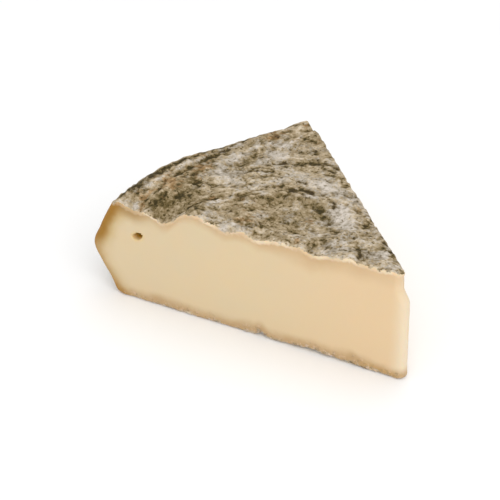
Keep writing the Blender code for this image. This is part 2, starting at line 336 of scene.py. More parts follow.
# Creases that show on the rind: half width in mm, darkness, places about the wheel's centre in mm
CREASES = (
    (1.7, 1.4, (-109, 4), (-107.8, 12), (-105.3, 21), (-102.2, 30), (-100.4, 34.5)),
    (0.8, 0.7, (-100, 36), (-96, 44), (-91.5, 51)),
    (1.2, 1.0, (-91.5, 50.5), (-90.3, 52.5)),
    (0.8, 0.7, (-89.5, 53.5), (-86.7, 60), (-80.5, 70), (-77, 76)),
    (1, 0.8, (-81.2, 69), (-80, 71.5)),
    (0.9, 0.6, (-98.7, 10), (-98.9, 20), (-97.5, 29)),
    (1.3, 1.1, (-97, 29), (-95.8, 33.5), (-92.2, 43), (-90.5, 47)),
    (1.2, 0.5, (-93, 31), (-91, 38), (-89, 45)),
    (0.7, 0.7, (-98.5, 1.5), (-96, 5), (-94.8, 10)),
    (0.8, 0.5, (-91.1, 10.5), (-90, 15)),
    (0.8, 1.4, (-90.5, 21.2), (-87.5, 20.2)),
    (0.8, 1.4, (-84.7, 4), (-82.3, 8.3), (-80.4, 11.8), (-77.3, 16)),
    (0.7, 0.7, (-84.1, 21.8), (-79.3, 25.4), (-71.9, 27.8)),
    (1.2, 0.6, (-70.7, 18), (-70.3, 21.2)),
    (0.9, 0.6, (-65, 15), (-63.5, 17)),
    (1.4, 0.6, (-63, 9), (-60.5, 4)),
    (0.7, 0.45, (-68.7, 29), (-64, 31.5), (-60, 31.5)),
    (1.1, 1.7, (-57.5, 30.8), (-55, 33), (-51.5, 33.5)),
    (1.4, 0.55, (-48.5, 26), (-45, 25.5), (-42, 22.5), (-38, 18.5), (-34, 14)),
    (0.8, 0.9, (-44.5, 31), (-41, 29), (-39.5, 26.5)),
    (0.6, 0.7, (-41, 30), (-39, 29.5)),
    (1.4, 0.35, (-85, 36.5), (-82, 39.5)),
    (0.7, 1.1, (-77.8, 35.5), (-73.5, 38.5), (-70, 39.1)),
    (0.8, 0.8, (-72.5, 44.1), (-66.9, 48.4)),
    (1.1, 0.8, (-65, 47.6), (-61.5, 51)),
    (1, 0.7, (-59, 51.8), (-54.9, 51.2)),
    (1.2, 0.7, (-64.5, 46.5), (-61, 48.5)),
    (0.7, 0.7, (-66, 38), (-64, 36.5)),
    (1.1, 0.7, (-58.5, 38.5), (-56, 38.5)),
    (1.3, 0.7, (-59.5, 53), (-57, 51.5)),
    (1, 0.5, (-54, 52), (-50, 51)),
    (1.4, 0.9, (-62.5, 59.5), (-61.5, 58)),
    (1.5, 0.8, (-67, 66), (-65, 64.5)),
    (0.9, 1.1, (-50.5, 49), (-49.5, 48)),
    (0.8, 0.8, (-46, 46), (-44, 44), (-42, 42.5)),
    (0.8, 0.9, (-38.5, 36.5), (-37.5, 35.5)),
    (0.8, 0.9, (-35.5, 35), (-34.5, 34)),
    (1.2, 0.8, (-33, 29), (-31.5, 27.5)),
    (1.1, 0.9, (-28.5, 22.5), (-26.5, 21.5)),
    (0.8, 0.8, (-27.5, 25.5), (-26, 24.5)),
    (1, 0.6, (-29, 14), (-26.5, 13)),
    (1.4, 1.1, (-24.2, 8.5), (-22.6, 6), (-21, 4.5), (-19.8, 2.5)),
    (0.8, 0.9, (-17, 15.5), (-16, 14.5)),
    (0.8, 1.0, (-14.5, 13), (-13.5, 12)),
    (0.6, 0.6, (-6, 1.5), (-5, 0.5)),
    (1.3, 0.7, (-80, 48), (-77.5, 46.5)),
    (1.2, 0.5, (-84, 47), (-82, 50)),
)
CREASE_DEPTH = 0.00048
CREASE_STRENGTH = 1.35

# How the creases change in width and break up: height, size and depth in the noise of the lumps
CREASE_WIDTHS = ((1.0, 0.0018, 0.97),)
CREASE_WIDTH_MEAN = 0.9
CREASE_WIDTH_LEAST = 0.3
CREASE_BREAKS = ((0.8, 0.0022, 0.93), (0.5, 0.0011, 0.95))
CREASE_BREAK_MEAN = 0.85
CREASE_BREAK_LIMITS = (0.2, 1.2)

# How all placed marks waver along X and Y, listed the same way
WAVER_X = ((0.0010, 0.0030, 0.71), (0.0004, 0.0012, 0.75))
WAVER_Y = ((0.0010, 0.0030, 0.83), (0.0004, 0.0012, 0.87))

# Pale streaks between the creases, listed like them with their paleness
PALE_STREAKS = (
    (1.2, 0.65, (-103, 12), (-101.5, 20), (-98.8, 30), (-95, 40), (-88.5, 52)),
    (1.4, 0.7, (-86.5, 32), (-84.5, 44), (-83.4, 50), (-78.8, 56.5)),
    (0.8, 0.8, (-77.8, 9), (-76.2, 14), (-73.7, 21.5)),
    (2.2, 0.7, (-53, 38.5), (-47, 38), (-43, 36)),
    (2.4, 0.4, (-42, 33), (-38, 25), (-31.5, 18)),
)
STREAK_LIGHT = 0.4

# Patches on the rind: place about the wheel's centre and half size in mm, percent of bloom, ochre, darkness
PATCHES = (
    (-86, 32, 8.5, 70, 0, 3),
    (-78, 44, 8, 50, 0, 4),
    (-74, 59, 7.5, 30, 0, 4),
    (-59, 39.5, 5.5, 70, 0, -10),
    (-47.5, 40, 4.8, 90, 0, -18),
    (-36, 23, 5, 50, 0, -8),
    (-17.5, 6, 4, 50, 0, 0),
    (-30, 6, 5, 50, 0, -10),
    (-74, 5, 3.5, 50, 0, -18),
    (-66, 2, 3, 90, 0, -20),
    (-102.2, 2.2, 1.9, 190, 0, -50),
    (-100.4, 9.5, 2.6, 50, 0, -56),
    (-97, 19, 3, -60, 130, 6),
    (-94.5, 15, 3, -30, 80, 8),
    (-92.3, 31.5, 2.4, -40, 160, 6),
    (-102, 20, 6, -30, 40, 6),
    (-96, 38, 6, -30, 40, 16),
    (-87.2, 53.8, 2.6, 10, 10, -22),
    (-98, 8, 6, -30, 10, 8),
    (-90, 2, 6, -70, -20, 34),
    (-95, 6, 6, -50, 10, 20),
    (-88, 14, 6, -50, 0, 26),
    (-62.5, 6.5, 3.8, -20, 50, 2),
    (-51, 15, 5, -20, 0, 22),
    (-54, 22, 11, -10, 0, 8),
    (-43, 12, 9, 0, 0, 8),
    (-58, 14, 10, -20, 10, 8),
    (-71, 18, 8, -30, 20, 6),
    (-81, 49, 4.2, -50, 20, 14),
    (-80, 62, 2, -40, 120, 35),
    (-66, 65.5, 3.5, -40, 30, 14),
    (-78, 69, 8, -50, 20, 4),
    (-26.8, 24.5, 3.6, -30, 10, 30),
    (-9.5, 1, 3.5, 30, 0, -35),
    (-30, 18, 16, 30, 0, 10),
    (-92.4, 26.2, 4.5, -40, 40, 48),
    (-82, 39.5, 4.5, -30, 0, 38),
    (-81.2, 58.2, 4.5, -30, 30, 46),
    (-80, 66, 3, -30, 40, 25),
    (-105.6, 10, 4.5, -20, 10, 80),
    (-80, 5.5, 3.6, -40, 0, 50),
    (-89.5, 9, 5, -20, 0, 25),
    (-88.5, 23, 3, -20, 0, 35),
    (-76.5, 50.5, 4.5, 10, 0, 30),
    (-64, 56, 4, 30, 0, -25),
    (-74, 62, 3, 20, 0, -22),
    (-91.2, 37, 3, 30, 0, -12),
    (-84, 37, 3, 0, 0, 20),
    (-89, 15, 3, -10, 0, 20),
    (-74.5, 29, 3, 40, 0, -8),
    (-79, 28, 4.5, 50, 0, -34),
    (-89.5, 42, 2.5, 20, 0, -28),
    (-36.8, 33.5, 4.2, 60, 0, -46),
    (-33, 21, 4, 40, 0, -38),
    (-56.2, 27.5, 3.4, 10, 0, 58),
    (-42, 26.5, 4, -20, 0, 28),
    (-67.5, 33, 3, -20, 0, 18),
    (-59.5, 47, 3, -30, 0, 30),
    (-54.5, 52.5, 3.5, -30, 0, 28),
    (-50.5, 30, 2.8, 60, 0, -38),
    (-64, 15, 4, 0, 0, -22),
    (-54.5, 17, 4, 0, 0, -25),
    (-44.5, 14.5, 4.5, 10, 0, -22),
    (-69.5, 2.5, 3, 20, 0, -30),
    (-54.5, 2.5, 2.5, -30, 0, 30),
    (-69.5, 42, 2.2, -10, 0, 15),
    (-68.8, 21.5, 4.5, -20, 0, 34),
    (-19.5, 12.5, 3, 30, 0, -15),
    (-99, 37, 2.5, 0, 0, -30),
    (-79, 42, 2.5, -20, 0, 25),
    (-75.5, 55.5, 3.4, -20, 10, 22),
    (-92.5, 21.5, 3, -20, 0, 25),
    (-84.5, 21, 2.5, 10, 0, -30),
    (-72.8, 74.8, 3, 30, 40, -50),
    (-63, 60, 5, 20, 0, -16),
    (-48, 47, 3, -20, 0, 20),
    (-59.5, 7, 3, -20, 10, 16),
    (-49, 13, 3.4, -10, 0, 38),
    (-34.2, 9.2, 4, -10, 0, 34),
    (-20, 5.8, 4.2, -20, 0, 34),
    (-11.8, 8, 4.8, 40, 0, 42),
)
PATCH_WAVER = 2.0

# How much the mottling calms down on placed bloom and in the oval hollow
CALM_BLOOM = 0.4
CALM_HOLLOW = 0.45

# The marks that each place of the rind has, in this order
LIFT, DARK, BLOOM, OCHRE = range(4)

# What the material reads at each point: distances in mm, and shares
DISTANCES = ("edge", "to_top", "to_base", "to_wall", "radius", "eye")
SHARES = ("crust", "dark", "bloom", "ochre")

# A distance beyond the reach of every zone
FAR = 0.2


def hill(distance, half_width):
    """A smooth hill: 1 at its middle, about a third at its half width."""
    return np.exp(-(distance / half_width) ** 2)


def hills(value, places):
    """The sum of hills along a value: where each is, its height and its half width."""
    return sum(height * hill(value - at, width) for at, height, width in places)


def smooth_step(value, low, high):
    share = np.clip((value - low) / (high - low), 0.0, 1.0)
    return share * share * (3.0 - 2.0 * share)


def lumps(x, y, z, size):
    """Even lumps of about the given size, between -1 and 1, at arrays of places."""
    places = np.stack(np.broadcast_arrays(x, y, z), axis=-1) / size
    values = [noise.noise(place) for place in places.reshape(-1, 3).tolist()]
    return np.reshape(values, places.shape[:-1])


def layered(x, y, layers, start=0.0, depth=0.0):
    """Lumps added to a start value: the height, size and depth in the noise of each layer of them."""
    for height, size, below in layers:
        start = start + height * lumps(x, y, depth + below, size)
    return start


def cut_places(x, y):
    """How far a place is along the front cut and in from it, and the same for the back cut."""
    along_back = y * math.sin(WEDGE_ANGLE) - x * math.cos(WEDGE_ANGLE)
    from_back = -x * math.sin(WEDGE_ANGLE) - y * math.cos(WEDGE_ANGLE)
    return (-x, np.maximum(y, 0.0)), (along_back, np.maximum(from_back, 0.0))


def section_slopes():
    """Slopes at the points of the wall's section, flat at its turning points so that it never overshoots."""
    steps = [(b[1] - a[1]) / (b[0] - a[0]) for a, b in zip(WALL_SECTION, WALL_SECTION[1:])]
    slopes = [steps[0]]
    for before, after in zip(steps, steps[1:]):
        slopes.append(2.0 * before * after / (before + after) if before * after > 0.0 else 0.0)
    return slopes + steps[-1:]


SECTION_SLOPES = section_slopes()


def wall_share(share):
    """How much of the belly the wall has at a share of the height."""
    for index in range(len(WALL_SECTION) - 1):
        low, high = WALL_SECTION[index], WALL_SECTION[index + 1]
        if share <= high[0]:
            break
    width = high[0] - low[0]
    t = (share - low[0]) / width
    start = low[1] * (1.0 + 2.0 * t) * (1.0 - t) ** 2 + SECTION_SLOPES[index] * width * t * (1.0 - t) ** 2
    end = high[1] * t * t * (3.0 - 2.0 * t) - SECTION_SLOPES[index + 1] * width * t * t * (1.0 - t)
    return start + end


def rim_radius(angle):
    return RIM_RADIUS + hills(np.degrees(angle), RIM_WAVES)


def wall_radius(angle, share):
    x, y = np.cos(angle) * RIM_RADIUS, np.sin(angle) * RIM_RADIUS
    belly = layered(x, y, WALL_LUMPS, WALL_BELLY, share * RIM_HEIGHT)
    return rim_radius(angle) + belly * wall_share(share)


def edge_swells(x, y):
    """The hollows and swellings of the rind beside the two cuts."""
    lifts = 0.0
    for swells, (along, across) in zip((EDGE_SWELLS, BACK_SWELLS), cut_places(x, y)):
        for at, lift, width, reach in swells:
            lifts = lifts + lift * hill(along - at, width) * hill(across, reach)
    return lifts


def rind_rings(radius, angle):
    """The rings pressed into the rind, which fade out away from the front cut."""
    fade = 1.0 - smooth_step(angle, *RINGS_FADE)
    return fade * hills(radius, RIND_RINGS)


def hollow_distance(x, y):
    """Distance from the oval hollow's middle, as a share of the way to its edge."""
    dx = x + HOLLOW_RADIUS * math.cos(HOLLOW_ANGLE)
    dy = y - HOLLOW_RADIUS * math.sin(HOLLOW_ANGLE)
    return np.hypot(dx / HOLLOW_LENGTH, dy / HOLLOW_WIDTH)


def oval_hollow(x, y):
    """A shallow oval dip with a faint raised lip around it."""
    distance = hollow_distance(x, y)
    floor = HOLLOW_DEPTH * (1.0 - smooth_step(distance, *HOLLOW_RANGE))
    return hills(distance, HOLLOW_LIP) - floor


def top_height(x, y):
    """Height of the rind's main form, as in the part."""
    radius = np.hypot(x, y)
    angle = np.arctan2(y, -x)
    rim = rim_radius(angle)
    height = CENTRE_HEIGHT - (CENTRE_HEIGHT - RIM_HEIGHT) * np.minimum(radius / rim, 1.0) ** CROWN_POWER
    to_rim = np.clip((rim - radius) / RIM_ROUNDING, 0.0, 1.0)
    height = height - RIM_DROP * (1.0 - to_rim) ** 2
    height = height + edge_swells(x, y) + rind_rings(radius, angle) + oval_hollow(x, y)
    return layered(x, y, RIND_LUMPS, height)


def base_height(x, y):
    """Height of the underside's main form, as in the part."""
    return hills(-x, BASE_NICKS) * hill(np.maximum(y, 0.0), NICK_REACH)


def nose_setback(share):
    """How far the tip lies back at a share of the height: most under the rind, a little at the toe."""
    slope = float(smooth_step(share, *NOSE_SLOPE))
    return NOSE_SETBACK * slope - NOSE_TOE * (1.0 - share)


def rounded_corner(corner, before, after, radius, steps):
    """Points of an arc that rounds a corner, from the side of one unit direction to that of the other."""
    half = 0.5 * before.angle(after)
    reach = radius / math.tan(half)
    centre = corner + (before + after).normalized() * (radius / math.sin(half))
    start = corner + before * reach - centre
    turn = start.angle_signed(corner + after * reach - centre)
    return np.array([centre + Matrix.Rotation(-turn * step / steps, 2) @ start for step in range(steps + 1)])


def cut_bulge(share, along):
    """How far a cut bulges between its rinds, least at its two ends."""
    return CUT_BULGE * math.sin(math.pi * share) * np.sin(math.pi * along) ** CUT_BULGE_FLATNESS


def cut_wave(points, share, along):
    """The slow waves that the knife left in a cut, which die away at its two ends."""
    wave = layered(points[:, 0], points[:, 1], CUT_WAVES, 0.0, share * RIM_HEIGHT)
    return wave * np.sin(math.pi * along)


def cut_fractions(fine_at):
    """Places along a cut as shares of its length from the wall, closer together at the eye if it has one."""
    steps = round(RIM_RADIUS / CUT_SPACING)
    fractions = [step / steps for step in range(1, steps)]
    if fine_at is not None:
        reach = EYE_FINE_REACH / RIM_RADIUS
        close = [f for f in fractions if abs(f - fine_at) < reach]
        fractions += [f + part / steps for f in close for part in EYE_FINE_PARTS]
    return np.array(sorted(fractions))


EYE_WALL_SHARE = float(wall_share(EYE_HEIGHT / CENTRE_HEIGHT))
EYE_FRACTION = 1.0 - EYE_RADIUS / (RIM_RADIUS + WALL_BELLY * EYE_WALL_SHARE)
FRONT_FRACTIONS = cut_fractions(EYE_FRACTION)
BACK_FRACTIONS = cut_fractions(None)
WALL_STEPS = round(RIM_RADIUS * WEDGE_ANGLE / WALL_SPACING)

# The kinds of points round the wedge's outline
CORNER, FRONT, NOSE, BACK, WALL = range(5)


def front_cut(start, end, share):
    points = start + FRONT_FRACTIONS[:, None] * (end - start)
    points[:, 1] -= cut_bulge(share, FRONT_FRACTIONS) + cut_wave(points, share, FRONT_FRACTIONS)
    return points


def back_cut(start, end, share, normal):
    """Points of the back cut, which bends in towards the tip where the rind lies back."""
    run = end - start
    from_tip = BACK_FRACTIONS * np.hypot(*run)
    points = start + BACK_FRACTIONS[:, None] * run
    bend = nose_setback(share) * math.sin(WEDGE_ANGLE)
    out = bend * (1.0 - BACK_FRACTIONS - np.exp(-from_tip / BACK_CUT_BEND))
    out += hills(from_tip, BACK_CUT_BOW) * (1.0 - BACK_FRACTIONS ** BACK_CUT_BOW_POWER)
    out += cut_bulge(share, BACK_FRACTIONS) + cut_wave(points, share, BACK_FRACTIONS)
    return points + out[:, None] * np.array(normal)


def outer_wall(start, end, share):
    """Points of the wheel's outer wall between its two corners, not counting these."""
    first = math.atan2(start[1], -start[0])
    last = math.atan2(end[1], -end[0])
    angles = np.linspace(first, last, WALL_STEPS + 1)[1:-1]
    return np.stack([-np.cos(angles), np.sin(angles)], axis=1) * wall_radius(angles, share)[:, None]


def outline(share):
    """The wedge's outline at a share of its height, anticlockwise, and the kind of each of its points."""
    towards_tip = Vector((1.0, 0.0))
    along_back = Vector((-math.cos(WEDGE_ANGLE), math.sin(WEDGE_ANGLE)))
    back_normal = Vector((math.sin(WEDGE_ANGLE), math.cos(WEDGE_ANGLE)))
    front_corner = Vector((-float(wall_radius(0.0, share)), 0.0))
    back_corner = along_back * float(wall_radius(WEDGE_ANGLE, share))
    tip = Vector((-nose_setback(share), 0.0))
    nose = rounded_corner(tip, -towards_tip, along_back, NOSE_RADIUS, NOSE_STEPS)
    wall_front = rounded_corner(front_corner, Vector((0.0, 1.0)), towards_tip, CORNER_RADIUS, CORNER_STEPS)
    wall_back = rounded_corner(back_corner, -along_back, -back_normal, CORNER_RADIUS, CORNER_STEPS)
    parts = (
        (CORNER, wall_front),
        (FRONT, front_cut(wall_front[-1], nose[0], share)),
        (NOSE, nose),
        (BACK, back_cut(nose[-1], wall_back[0], share, back_normal)),
        (CORNER, wall_back),
        (WALL, outer_wall(wall_back[-1], wall_front[0], share)),
    )
    points = np.concatenate([points for _, points in parts])
    kinds = np.concatenate([np.full(len(points), kind) for kind, points in parts])
    return points, kinds


def add_object(name, data, place=(0.0, 0.0, 0.0), turn=(0.0, 0.0, 0.0)):
    thing = bpy.data.objects.new(name, data)
    thing.location = place
    thing.rotation_euler = turn
    bpy.context.scene.collection.objects.link(thing)
    return thing


def outward_normals(points):
    run = np.roll(points, -1, axis=0) - np.roll(points, 1, axis=0)
    run /= np.hypot(run[:, 0], run[:, 1])[:, None]
    return np.stack([run[:, 1], -run[:, 0]], axis=1)


def row_shares():
    """Heights of the rows as shares of the whole, close together at both edges and at the eye."""
    near = np.array(EDGE_ROWS) / RIM_HEIGHT
    steps = round(RIM_HEIGHT * (1.0 - 2.0 * near[-1]) / ROW_SPACING)
    middle = np.linspace(near[-1], 1.0 - near[-1], steps + 1)[1:-1]
    eye = np.abs(middle * RIM_HEIGHT - EYE_HEIGHT) < EYE_HALF_HEIGHT + ROW_SPACING
    step = middle[1] - middle[0]
    between = np.concatenate([middle[eye] + part * step for part in EYE_FINE_PARTS])
    return np.sort(np.concatenate([near, middle, between, 1.0 - near]))


def streak_places(x, y):
    """Places along and across the rind's streaks."""
    radius = np.hypot(x, y)
    rim = rim_radius(np.arctan2(y, -x))
    inner = np.hypot(x - STREAK_X, y - STREAK_Y) - STREAK_OFFSET
    inside = smooth_step(rim - radius, *STREAK_TURN)
    across = (1.0 - inside) * (radius - rim) + inside * inner
    along = STREAK_RADIUS * np.arctan2(y - STREAK_Y, STREAK_X - x)
    return along, across


def near_line(x, y, points):
    """Distance to a line through a few points."""
    best = np.full(np.shape(x), np.inf)
    for (ax, ay), (bx, by) in zip(points, points[1:]):
        run = (bx - ax) ** 2 + (by - ay) ** 2
        t = np.clip(((x - ax) * (bx - ax) + (y - ay) * (by - ay)) / run, 0.0, 1.0)
        best = np.minimum(best, np.hypot(x - ax - t * (bx - ax), y - ay - t * (by - ay)))
    return best


def rind_texture(along, across, side_depth):
    """Lift, darkness, bloom and ochre of the rind everywhere, at places along and across its streaks."""

    def regions(size, depth):
        return lumps(along, across, side_depth + depth, size)

    bent = across
    for reach, size, depth in STREAK_BENDS:
        bent = bent + reach * regions(size, depth)
    form = sum(weight * lumps(along / stretch, bent, side_depth + depth, size)
               for size, stretch, depth, weight in MOTTLE)
    dips = smooth_step(-form, DIP_START - DIP_SWAY * regions(*DIP_REGIONS), DIP_END)
    rises = smooth_step(form, *RISE_LIMITS)
    dark = (dips - RISE_LIGHT * rises) * (DARK_MEAN + DARK_SWAY * regions(*DARK_REGIONS))
    bloom = smooth_step(regions(*BLOOM_REGIONS) + BLOOM_ON_RISES * form, *BLOOM_LIMITS)
    ochre = smooth_step(regions(*OCHRE_REGIONS), *OCHRE_LIMITS)
    return np.array([MOTTLE_LIFT * form - DARK_SINK * dark, dark, BLOOM_MOST * bloom, OCHRE_MOST * ochre])


def placed_marks(x, y):
    """Lift, darkness, bloom and ochre of the creases, pale streaks and patches that the rind's top shows."""
    waver_x, waver_y = layered(x, y, WAVER_X), layered(x, y, WAVER_Y)
    line_x, line_y = (x + waver_x) / MM, (y + waver_y) / MM
    patch_x, patch_y = (x + PATCH_WAVER * waver_x) / MM, (y + PATCH_WAVER * waver_y) / MM
    width = np.maximum(layered(x, y, CREASE_WIDTHS, CREASE_WIDTH_MEAN), CREASE_WIDTH_LEAST)
    dark, bloom, ochre = np.zeros((3, *np.shape(x)))
    for half_width, strength, *points in CREASES:
        line = hill(near_line(line_x, line_y, points), half_width * width)
        dark = np.maximum(dark, CREASE_STRENGTH * strength * line)
    dark *= np.clip(layered(x, y, CREASE_BREAKS, CREASE_BREAK_MEAN), *CREASE_BREAK_LIMITS)
    lift = -CREASE_DEPTH * np.minimum(dark, 1.0)
    for half_width, strength, *points in PALE_STREAKS:
        line = strength * hill(near_line(line_x, line_y, points), half_width)
        bloom += line
        dark -= STREAK_LIGHT * line
    for px, py, size, pale, warm, darker in PATCHES:
        spot = hill(np.hypot(patch_x - px, patch_y - py), size) / 100.0
        bloom += pale * spot
        ochre += warm * spot
        dark += darker * spot
    return np.array([lift, dark, bloom, ochre])


def top_edge_marks(x, y):
    """What the rind's top gains where it meets the cuts: crumbs, steps, bumps and shades."""
    (along_front, to_front), (along_back, to_back) = cut_places(x, y)
    to_rim = rim_radius(np.arctan2(y, -x)) - np.hypot(x, y)
    corner_fade = smooth_step(to_rim, *CORNER_FADE)
    near_cut = np.maximum(hill(to_front, CRUMB_REACH), hill(to_back, CRUMB_REACH) * corner_fade)
    at_back = hill(to_back, BUMP_REACH) * corner_fade
    bumps = lumps(x, y, BUMP_DEPTH, BUMP_SIZE)
    lift = CRUMB_LIFT * lumps(x, y, 0.0, CRUMB_SIZE) * near_cut
    lift += hills(along_front, FRONT_STEPS) * hill(to_front, STEP_REACH)
    lift += hills(along_back, BACK_STEPS) * hill(to_back, STEP_REACH)
    lift += (BUMP_LIFT * bumps - BUMP_SINK) * at_back
    dark = at_back * smooth_step(-x, *TIP_FADE) * (BUMP_DARKNESS + BUMP_CONTRAST * bumps)
    dark -= TOP_PALE_LIGHT * hill(to_front, TOP_PALE_REACH)
    return np.array([lift, dark, np.zeros_like(lift), np.zeros_like(lift)])


def top_marks(x, y):
    texture = rind_texture(*streak_places(x, y), TOP_DEPTH)
    placed = placed_marks(x, y)
    on_bloom = CALM_BLOOM * np.clip(placed[BLOOM], 0.0, 1.0)
    texture[DARK] *= 1.0 - np.maximum(on_bloom, CALM_HOLLOW * hill(hollow_distance(x, y), 1.0))
    return texture + placed + top_edge_marks(x, y)


def base_marks(x, y):
    marks = rind_texture(*streak_places(x, y), BASE_DEPTH)
    (along, to_front), _ = cut_places(x, y)
    # Paler along the front cut: pale mould, and partly painted light over the shade at the lower edge
    pale = hill(to_front, BASE_PALE_REACH)
    marks[DARK] += hills(along, BASE_SPECKS) * hill(to_front, BASE_SPECK_REACH) - BASE_PALENESS_AND_PAINTED_LIGHT * pale
    marks[BLOOM] += BASE_BLOOM_AND_PAINTED_LIGHT * pale
    return marks


def row_spans(ring, y):
    """Where a line of constant y enters and leaves an outline."""
    after = np.roll(ring, -1, axis=0)
    hit = (ring[:, 1] > y) != (after[:, 1] > y)
    a, b = ring[hit], after[hit]
    crossings = np.sort(a[:, 0] + (y - a[:, 1]) * (b[:, 0] - a[:, 0]) / (b[:, 1] - a[:, 1]))
    return list(zip(crossings[::2], crossings[1::2]))


def inside_points(ring, spacing):
    """Evenly staggered places inside an outline, clear of its edge."""
    keep = ring - outward_normals(ring) * spacing * EDGE_CLEARANCE
    row_step = spacing * math.sqrt(0.75)
    low, high = keep[:, 1].min(), keep[:, 1].max()
    rows = []
    for row in range(int((high - low) / row_step) + 1):
        y = low + (row + 0.5) * row_step
        stagger = 0.5 * (row % 2)
        for start, end in row_spans(keep, y):
            first = math.ceil(start / spacing - stagger) + stagger
            xs = np.arange(first * spacing, end, spacing)
            rows.append(np.stack([xs, np.full(len(xs), y)], axis=1))
    return np.concatenate(rows)


def rounding(to_edge, depth):
    return np.clip(1.0 - to_edge / depth, 0.0, 1.0) ** 2


def crust_lip(x, y, to_top, crust):
    """How far the crust left by the knife stands out of a cut near its upper edge."""
    patch = lumps(x, y, 0.0, LIP_PATCH_SIZE)
    crumb = lumps(x, y, to_top, LIP_CRUMB_SIZE)
    strength = np.clip(LIP_EVEN + LIP_CRUST * crust + LIP_UNEVEN * (patch + crumb), 0.0, LIP_MOST)
    return strength * hills(to_top, LIP) + hills(to_top, GROOVE)


def eye_distance(x, z):
    """Distance from the eye's middle on the front cut, as a share of the way to its uneven edge."""
    dx, dz = x + EYE_RADIUS, z - EYE_HEIGHT
    along = (dx * math.cos(EYE_TILT) + dz * math.sin(EYE_TILT)) / EYE_HALF_WIDTH
    across = (dz * math.cos(EYE_TILT) - dx * math.sin(EYE_TILT)) / EYE_HALF_HEIGHT
    turn = np.arctan2(across, along)
    uneven = sum(height * np.sin(count * turn + phase) for count, height, phase in EYE_WAVES)
    return np.hypot(along, across) / (1.0 + uneven)


def mark_values(marks):
    return {"dark": marks[DARK], "bloom": marks[BLOOM], "ochre": marks[OCHRE]}


class SideRow:
    """One row of points round the side of the wedge, at a share of its height."""

    def __init__(self, share):
        self.share = share
        self.ring, self.kinds = outline(share)
        self.x, self.y = self.ring[:, 0], self.ring[:, 1]
        self.angle = np.arctan2(self.y, -self.x)
        self.on_wall = self.kinds == WALL
        self.on_front = self.kinds == FRONT
        self.low, self.high = base_height(self.x, self.y), top_height(self.x, self.y)
        self.to_top = (1.0 - share) * (self.high - self.low)
        self.to_base = share * (self.high - self.low)
        self.near_top = 1.0 - smooth_step(self.to_top, 0.0, EDGE_BLEND)
        self.near_base = 1.0 - smooth_step(self.to_base, 0.0, EDGE_BLEND)
        self.find_marks()
        self.crust = CRUST_BASE + self.on_front * hills(-self.x, CRUST_PLACES)
        self.eye = np.where(self.on_front, eye_distance(self.x, self.low + self.to_base), FAR / MM)

    def find_marks(self):
        """The marks of the wall, and near the flat sides those of the flat side, which lift the edge too."""
        height = np.full(len(self.x), self.share * RIM_HEIGHT)
        self.marks = rind_texture(self.angle * RIM_RADIUS, height, WALL_DEPTH)
        if self.near_top.max() > 0.0:
            top = top_marks(self.x, self.y)
            self.marks += self.near_top * (top - self.marks)
            self.high = self.high + self.near_top * top[LIFT]
        if self.near_base.max() > 0.0:
            base = base_marks(self.x, self.y)
            self.marks += self.near_base * (base - self.marks)
            self.low = self.low + self.near_base * np.maximum(-base[LIFT], 0.0)

    def to_cuts(self, wrap):
        """Distance round the wall to the nearer cut, where the back one lies further off by a wrap."""
        to_front = self.angle * RIM_RADIUS
        to_back = (WEDGE_ANGLE - self.angle) * RIM_RADIUS + wrap
        return np.maximum(np.minimum(to_front, to_back), 0.0)

    def to_wall(self, radius):
        front = wall_radius(0.0, self.share) + self.x
        back = wall_radius(WEDGE_ANGLE, self.share) - radius
        return np.where(self.angle < 0.5 * WEDGE_ANGLE, front, back)

    def relief(self):
        """How far the surface stands out of the main form."""
        height = self.share * RIM_HEIGHT
        wall = self.marks[LIFT] * smooth_step(self.to_cuts(0.0), 0.0, CORNER_BLEND)
        cut = crust_lip(self.x, self.y, self.to_top, self.crust)
        cut += layered(self.x, self.y, PASTE_GRAIN, 0.0, height)
        cut += self.near_base * layered(self.x, self.y, FRINGE, 0.0, height)
        out = np.where(self.on_wall, wall, cut)
        out -= TOP_EDGE_ROUNDING * rounding(self.to_top, TOP_EDGE_DEPTH)
        out -= BASE_EDGE_ROUNDING * rounding(self.to_base, BASE_EDGE_DEPTH)
        return out - EYE_DEPTH * np.sqrt(np.clip(1.0 - self.eye ** EYE_SQUARENESS, 0.0, 1.0))

    def places(self):
        flat = self.ring + outward_normals(self.ring) * self.relief()[:, None]
        return np.column_stack([flat, self.low + self.share * (self.high - self.low)])

    def values(self):
        """What the material reads at each point."""
        beside_rind = (self.kinds == BACK) | (self.kinds == CORNER)
        smear_top = np.where(beside_rind, BACK_WRAP, hills(-self.x, TOP_SMEARS) * self.on_front)
        smear_base = hills(-self.x, BASE_SMEARS) * self.on_front
        radius = np.hypot(self.x, self.y)
        return {
            "edge": np.where(self.on_wall, self.to_cuts(BACK_WRAP), smear_top - self.to_top),
            "to_top": np.maximum(self.to_top - SMEAR_ON_CRUST * smear_top, 0.0),
            "to_base": np.where(self.on_wall, FAR, self.to_base - smear_base),
            "to_wall": np.where(self.on_wall, 0.0, self.to_wall(radius)),
            "radius": radius,
            # The mesh turns distances into mm, so this leaves the eye's shares as they are
            "eye": self.eye * MM,
            "crust": self.crust,
            **mark_values(self.marks),
        }


def top_surface(x, y, lift):
    return top_height(x, y) + lift


def base_surface(x, y, lift):
    """The underside, whose hollows go up into the wedge and whose swellings are pressed flat."""
    return base_height(x, y) + np.maximum(-lift, 0.0)


def flat_side(ring, spacing, marks_at, surface):
    """The places inside a flat side's outline and what the material reads there."""
    inner = inside_points(ring, spacing)
    x, y = inner[:, 0], inner[:, 1]
    (_, to_front), (_, to_back) = cut_places(x, y)
    marks = marks_at(x, y)
    values = {name: np.full(len(inner), FAR) for name in DISTANCES}
    values["edge"] = np.minimum(to_front, to_back + BACK_WRAP)
    values["crust"] = np.zeros(len(inner))
    return np.column_stack([inner, surface(x, y, marks[LIFT])]), values | mark_values(marks)


